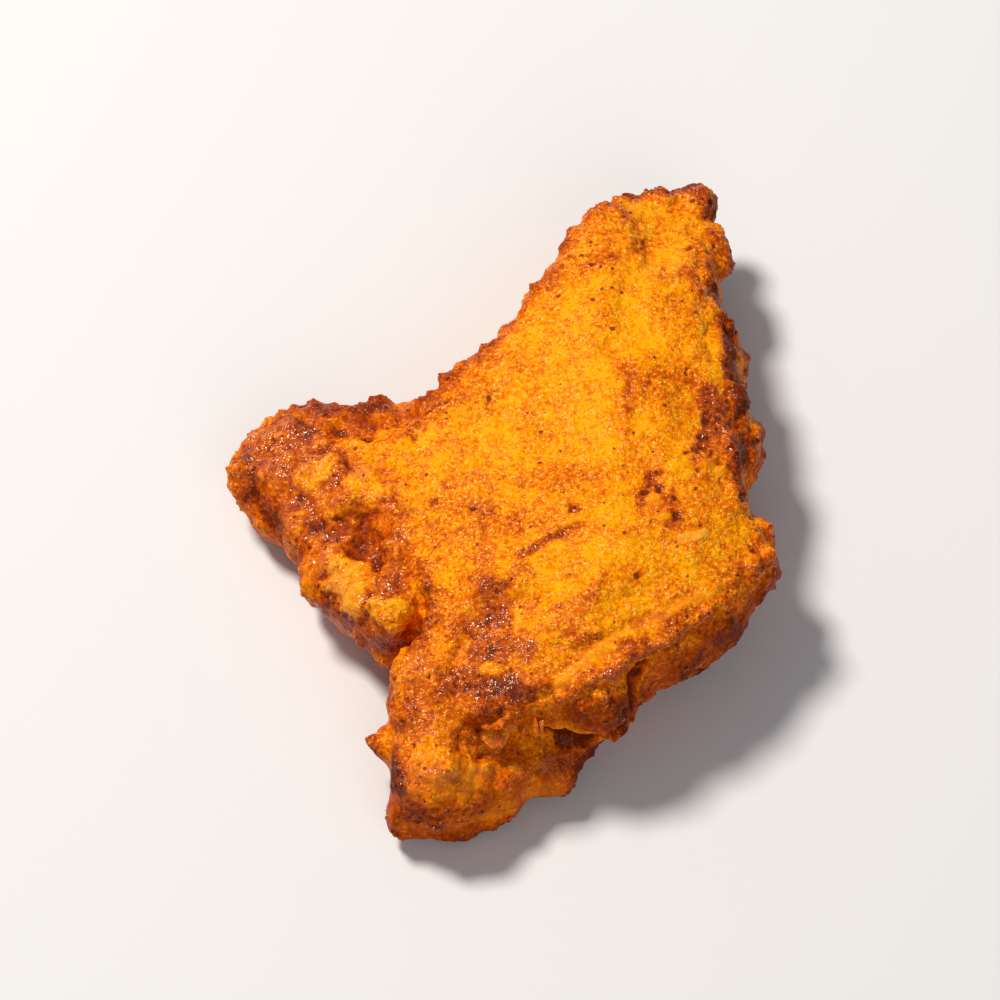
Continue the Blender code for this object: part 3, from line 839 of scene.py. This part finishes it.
def fried_batter(colours):
    """Fried batter: wheat-flour crust set in hot oil. Amber where flat, rust to brown where it stood
    proud, with a thin film of oil that gives small sharp glints on a granular, half-rough skin. Pale
    dots on the grain's tops are painted highlight, and the grain's low parts are painted shade."""
    material = bpy.data.materials.new("fried_batter")
    material.use_nodes = True
    tree = material.node_tree
    add = functools.partial(add_node, tree)
    place = add("ShaderNodeTexCoord").outputs["Object"]
    stored = [add("ShaderNodeAttribute", attribute_name=name).outputs["Fac"] for name in LAYERS]
    browning, waxy, bare, oily = stored
    noises = []
    for width, detail, rough in PATTERNS.values():
        inputs = {"Vector": place, "Scale": per_mm(width), "Detail": detail, "Roughness": rough}
        noises.append(add("ShaderNodeTexNoise", inputs))
    patches, drops, grain, peaks = noises

    def rgba(name):
        return (*getattr(colours, name), 1.0)

    # Mottling breaks up the browning, as the batter's thickness does. The grain's low parts are browner
    # and its high parts paler, painted shade and painted light on its relief. It is weaker on smooth
    # skin.
    mottled = add("ShaderNodeMapRange", (patches, 0.25, 0.75, -0.17, 0.20), **SOFTLY)
    painted_grain_shade = add("ShaderNodeMapRange", (grain, 0.32, 0.68, 0.18, -0.14), **SOFTLY)
    # The tops of the grain are made paler, painted highlight.
    tops = add("ShaderNodeMapRange", (peaks, 0.58, 0.68, 0.0, 1.0), **SOFTLY)
    uneven = add("ShaderNodeMath", (mottled, painted_grain_shade), operation="ADD")
    uneven = add("ShaderNodeMath", (tops, -0.26, uneven), operation="MULTIPLY_ADD")
    calm = add("ShaderNodeMath", (waxy, -0.5, 1.0), operation="MULTIPLY_ADD")
    browned = add("ShaderNodeMath", (uneven, calm, browning), operation="MULTIPLY_ADD")
    ramp = add("ShaderNodeValToRGB", (browned,))
    while len(ramp.color_ramp.elements) < len(BROWNING_STOPS):
        ramp.color_ramp.elements.new(1.0)
    for element, (position, name) in zip(ramp.color_ramp.elements, BROWNING_STOPS):
        element.position = position
        element.color = rgba(name)
    film = add("ShaderNodeMapRange", (bare, 0.2, 0.7, 0.0, 0.6), **SOFTLY)
    tint = add("ShaderNodeMix", {SHARE: film, UNDER: ramp, OVER: rgba("pale")}, data_type="RGBA")

    # Pale dots painted on the tops of single grains stand for the oil's glints, a painted highlight,
    # most of them where the batter is least brown.
    thin = add("ShaderNodeMapRange", (browned, 0.05, 0.50, 0.9, 0.0), **SOFTLY)
    thin = add("ShaderNodeMath", (thin, calm), operation="MULTIPLY")
    thin = add("ShaderNodeMath", (thin, tops), operation="MULTIPLY")
    tint = add("ShaderNodeMix", {SHARE: thin, UNDER: tint, OVER: rgba("painted_glint")}, data_type="RGBA")

    # Dark specks, up to a third of a millimetre wide and of uneven size and outline.
    cells = add("ShaderNodeTexVoronoi", {"Vector": place, "Scale": per_mm(SPECK_SPACING)})
    pick = add("ShaderNodeSeparateColor", (cells.outputs["Color"],))
    pick = add("ShaderNodeMath", (pick, 3.0), operation="POWER")
    widest = add("ShaderNodeMapRange", (patches, 0.35, 0.65, 0.15, 0.36), **SOFTLY)
    size = add("ShaderNodeMath", (pick, widest), operation="MULTIPLY")
    away = add("ShaderNodeMath", (grain, 0.3, cells), operation="MULTIPLY_ADD")
    inside = add("ShaderNodeMath", (size, away), operation="SUBTRACT")
    speck = add("ShaderNodeMapRange", (inside, -0.17, -0.10, 0.0, 0.85), **SOFTLY)
    tint = add("ShaderNodeMix", {SHARE: speck, UNDER: tint, OVER: rgba("brown")}, data_type="RGBA")

    # The grain is softer where the skin is smooth or bare.
    smoothed = add("ShaderNodeMath", (waxy, bare), operation="MAXIMUM")
    strength = add("ShaderNodeMath", (smoothed, -0.6, 1.0), operation="MULTIPLY_ADD")
    height = add("ShaderNodeMath", (tops, 0.15, grain), operation="MULTIPLY_ADD")
    relief = {"Strength": strength, "Distance": GRAIN_RELIEF * MM, "Height": height}

    # Frying oil stands in drops over the grain, and gives small sharp glints.
    beads = {"Strength": 1.0, "Distance": DROP_RELIEF * MM, "Height": drops}
    pooled = add("ShaderNodeMapRange", (patches, 0.35, 0.65, 0.4, 1.8), **SOFTLY)
    finish = {
        "Base Color": tint,
        "Roughness": add("ShaderNodeMapRange", (patches, 0.3, 0.7, 0.30, 0.48), **SOFTLY),
        "Normal": add("ShaderNodeBump", relief),
        "IOR": 1.46,
        "Specular IOR Level": add("ShaderNodeMapRange", (oily, 0.0, 0.5, 0.04, 0.15), **SOFTLY),
        "Specular Tint": (*linear("#FFC35A"), 1.0),
        "Coat Weight": add("ShaderNodeMath", (oily, pooled), operation="MULTIPLY", use_clamp=True),
        "Coat Roughness": 0.16,
        "Coat IOR": 1.47,
        "Coat Normal": add("ShaderNodeBump", beads),
    }
    for name, value in finish.items():
        plug(tree, value, tree.nodes["Principled BSDF"].inputs[name])
    return material


class KIBBELING_OT_crust(bpy.types.Operator):
    """Grow the fried crust over the solid's skin"""

    bl_idname = "kibbeling.crust"
    bl_label = "Crust"

    def execute(self, context):
        sizes = context.scene.kibbeling_sizes
        crust = core_copy("batter_crust")
        modify(crust, "REMESH", mode="VOXEL", voxel_size=sizes.coarse_grid)
        modify(crust, "SMOOTH", iterations=4)
        unwrap(crust)
        modify(crust, "SUBSURF", levels=1, render_levels=1)
        marks = sculpt(crust)
        zones = find_zones(crust)
        pits, shades = raise_crust(crust, sizes, zones, marks)
        lie_flat(crust)
        brown(crust, zones, marks, pits, shades)
        crust.data.shade_smooth()
        crust.data.materials.append(fried_batter(context.scene.kibbeling_colours))
        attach(crust, BODY)
        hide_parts(NODE)
        return {"FINISHED"}


def tint_piece(obj, shade_of, smooth):
    """Stores the attributes that the material reads on a small piece."""
    mesh = obj.data
    shades = [shade_of(i, vertex.co) for i, vertex in enumerate(mesh.vertices)]
    even = [[value] * len(shades) for value in (smooth, 0.0, PIECE_OIL)]
    for name, values in zip(LAYERS, (shades, *even)):
        mesh.attributes.new(name, "FLOAT", "POINT").data.foreach_set("value", values)


def torn_flake(name, path, ups, height, curl):
    """One flake that stands on a path over the skin, with a torn free edge that curls over."""
    bpy.ops.object.select_all(action="DESELECT")
    bpy.ops.mesh.primitive_grid_add(x_subdivisions=24, y_subdivisions=8, size=1.0)
    tear = bpy.context.object
    tear.name = name
    for vertex in tear.data.vertices:
        share = min(0.9999, max(0.0, vertex.co.x + 0.5))
        along = share * (len(path) - 1)
        i = int(along)
        place = path[i].lerp(path[i + 1], along - i)
        up = ups[i].lerp(ups[i + 1], along - i)
        out = (path[i + 1] - path[i]).normalized().cross(up)
        rise = vertex.co.y + 0.5
        torn = 0.75 + 0.6 * noise.noise(place / (0.9 * MM) + Vector((height, 0.0, 0.0)))
        torn *= math.sin(math.pi * min(0.97, max(0.03, share))) ** 0.4
        wave = 0.22 * MM * noise.noise(place / (0.8 * MM) + Vector((0.0, 0.0, rise)))
        vertex.co = place + up * ((rise * height * torn - TEAR_SUNK) * MM)
        vertex.co += out * (rise * rise * curl * MM * torn + wave)
    modify(tear, "SOLIDIFY", thickness=TEAR_THICK * MM, offset=0.0)
    modify(tear, "SUBSURF", levels=1, render_levels=1)
    return tear


class KIBBELING_OT_tears(bpy.types.Operator):
    """Add the torn flakes of batter that stand up in front of the crisp patch"""

    bl_idname = "kibbeling.tears"
    bl_label = "Torn flakes"

    def execute(self, context):
        crust = bpy.data.objects["batter_crust"].data
        tree = tree_of(points_of(crust))
        normals = spread(crust, normals_of(crust), 12)
        made = []
        for name, (line, height, curl) in TEARS.items():
            found = [tree.find(Vector(place) * MM)[:2] for place in line]
            path = [place for place, _ in found]
            ups = [Vector(normals[i]).normalized() for _, i in found]
            made.append(torn_flake(name, path, ups, height, curl))
        bpy.ops.object.select_all(action="DESELECT")
        for tear in made:
            tear.select_set(True)
        context.view_layer.objects.active = made[0]
        bpy.ops.object.join()
        tears = context.object
        tears.name = "torn_batter"
        unwrap(tears)
        tears.data.shade_smooth()
        tint_piece(tears, lambda _, co: 0.42 + 0.25 * noise.noise(co / (1.2 * MM)), 0.5)
        tears.data.materials.append(bpy.data.materials["fried_batter"])
        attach(tears, BODY)
        return {"FINISHED"}


class KIBBELING_OT_crumbs(bpy.types.Operator):
    """Set crumbs of batter in the crust, most of them along its rims"""

    bl_idname = "kibbeling.crumbs"
    bl_label = "Crumbs"

    def execute(self, context):
        chance = random.Random(CRUMB_SEED)
        crust = bpy.data.objects["batter_crust"].data
        points = points_of(crust)
        normals = normals_of(crust)
        proud = stands_out(crust, points, spread(crust, normals, 3), 60)
        browning = np.empty(len(points), np.float32)
        crust.attributes["browning"].data.foreach_get("value", browning)
        shell = bmesh.new()
        shades = []
        while len(shades) < context.scene.kibbeling_sizes.crumbs:
            i = chance.randrange(len(points))
            if points[i][2] < CRUMB_LOWEST * MM or chance.random() > 2.2 * (proud[i] - CRUMB_PROUD):
                continue
            radius = chance.uniform(*CRUMB_RADII) * MM
            made = bmesh.ops.create_icosphere(shell, subdivisions=1, radius=radius)["verts"]
            place = Vector(points[i]) + Vector(normals[i]) * radius * chance.uniform(-0.8, -0.3)
            stretch = Vector([chance.uniform(0.75, 1.3) for _ in range(3)])
            for vertex in made:
                bump = 1.0 + 0.3 * noise.noise(vertex.co / (0.4 * MM) + place / MM)
                vertex.co = place + vertex.co * stretch * bump
            # Each crumb takes the crust's browning where it sits, painted shade included.
            shades.append((len(made), float(browning[i]) + chance.uniform(-0.12, 0.2)))
        mesh = bpy.data.meshes.new("crumbs")
        shell.to_mesh(mesh)
        shell.free()
        crumbs = bpy.data.objects.new("crumbs", mesh)
        context.scene.collection.objects.link(crumbs)
        unwrap(crumbs)
        mesh.shade_smooth()
        per_vertex = [shade for count, shade in shades for _ in range(count)]
        tint_piece(crumbs, lambda i, _: per_vertex[i], 0.2)
        mesh.materials.append(bpy.data.materials["fried_batter"])
        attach(crumbs, BODY)
        return {"FINISHED"}


def white_paper():
    """Matt white background paper, a little cool."""
    material = bpy.data.materials.new("white_paper")
    material.use_nodes = True
    shader = material.node_tree.nodes["Principled BSDF"]
    shader.inputs["Base Color"].default_value = (*linear("#E8EEF8"), 1.0)
    shader.inputs["Roughness"].default_value = 0.9
    shader.inputs["Specular IOR Level"].default_value = 0.2
    return material


def aim(data, target, offset):
    """Puts a lamp or the camera at that offset from the target, and turns it to face the target."""
    obj = bpy.data.objects.new(data.name, data)
    obj.location = target + offset
    obj.rotation_euler = (-offset).to_track_quat("-Z", "Y").to_euler()
    bpy.context.scene.collection.objects.link(obj)
    return obj


class KIBBELING_OT_stage(bpy.types.Operator):
    """Add the pale floor, the soft light and the camera"""

    bl_idname = "kibbeling.stage"
    bl_label = "Stage"

    def execute(self, context):
        scene = context.scene
        bpy.ops.object.select_all(action="DESELECT")
        bpy.ops.mesh.primitive_plane_add(size=FLOOR_SIDE, location=(0.0, 0.0, 0.0))
        floor = context.object
        floor.name = "floor"
        floor.data.materials.append(white_paper())

        low, high = (Vector(corner) for corner in CAD_BOUNDS)
        middle = (low + high) / 2
        for name, (place, size, power, code) in LAMPS.items():
            lamp = bpy.data.lights.new(name, "AREA")
            lamp.shape = "DISK"
            lamp.size = size
            lamp.energy = power
            lamp.color = linear(code)
            aim(lamp, middle, Vector(place))

        world = bpy.data.worlds.new("studio")
        world.use_nodes = True
        room = world.node_tree.nodes["Background"].inputs
        room["Color"].default_value = (1.0, 1.0, 1.0, 1.0)
        room["Strength"].default_value = ROOM_LIGHT
        scene.world = world
        scene.view_settings.view_transform = "Standard"

        lens = bpy.data.cameras.new("camera")
        lens.lens = LENS_MM
        lens.clip_start = 0.01
        lens.clip_end = 10.0
        away = Vector((0.0, -math.cos(ELEVATION), math.sin(ELEVATION)))
        reach = SEEN_HALF * (high.y - low.y) / math.tan(lens.angle / 2) / FRAME_SHARE
        scene.camera = aim(lens, middle, away * reach)
        return {"FINISHED"}


class KIBBELING_PT_panel(bpy.types.Panel):
    """Lists the pieces of the kibbeling and their settings"""

    bl_label = "Kibbeling"
    bl_space_type = "VIEW_3D"
    bl_region_type = "UI"
    bl_category = "Kibbeling"

    def draw(self, context):
        for settings in (context.scene.kibbeling_sizes, context.scene.kibbeling_colours):
            for name in settings.__annotations__:
                self.layout.prop(settings, name)
        for step in STEPS:
            self.layout.operator(step.bl_idname)


STEPS = (KIBBELING_OT_crust, KIBBELING_OT_tears, KIBBELING_OT_crumbs, KIBBELING_OT_stage)
CLASSES = (CrustSizes, CrustColours, *STEPS, KIBBELING_PT_panel)


def register():
    for cls in CLASSES:
        bpy.utils.register_class(cls)
    bpy.types.Scene.kibbeling_sizes = PointerProperty(type=CrustSizes)
    bpy.types.Scene.kibbeling_colours = PointerProperty(type=CrustColours)


def unregister():
    del bpy.types.Scene.kibbeling_sizes
    del bpy.types.Scene.kibbeling_colours
    for cls in reversed(CLASSES):
        bpy.utils.unregister_class(cls)


def main():
    register()
    bpy.ops.kibbeling.crust()
    bpy.ops.kibbeling.tears()
    bpy.ops.kibbeling.crumbs()
    bpy.ops.kibbeling.stage()


if __name__ == "__main__":
    main()
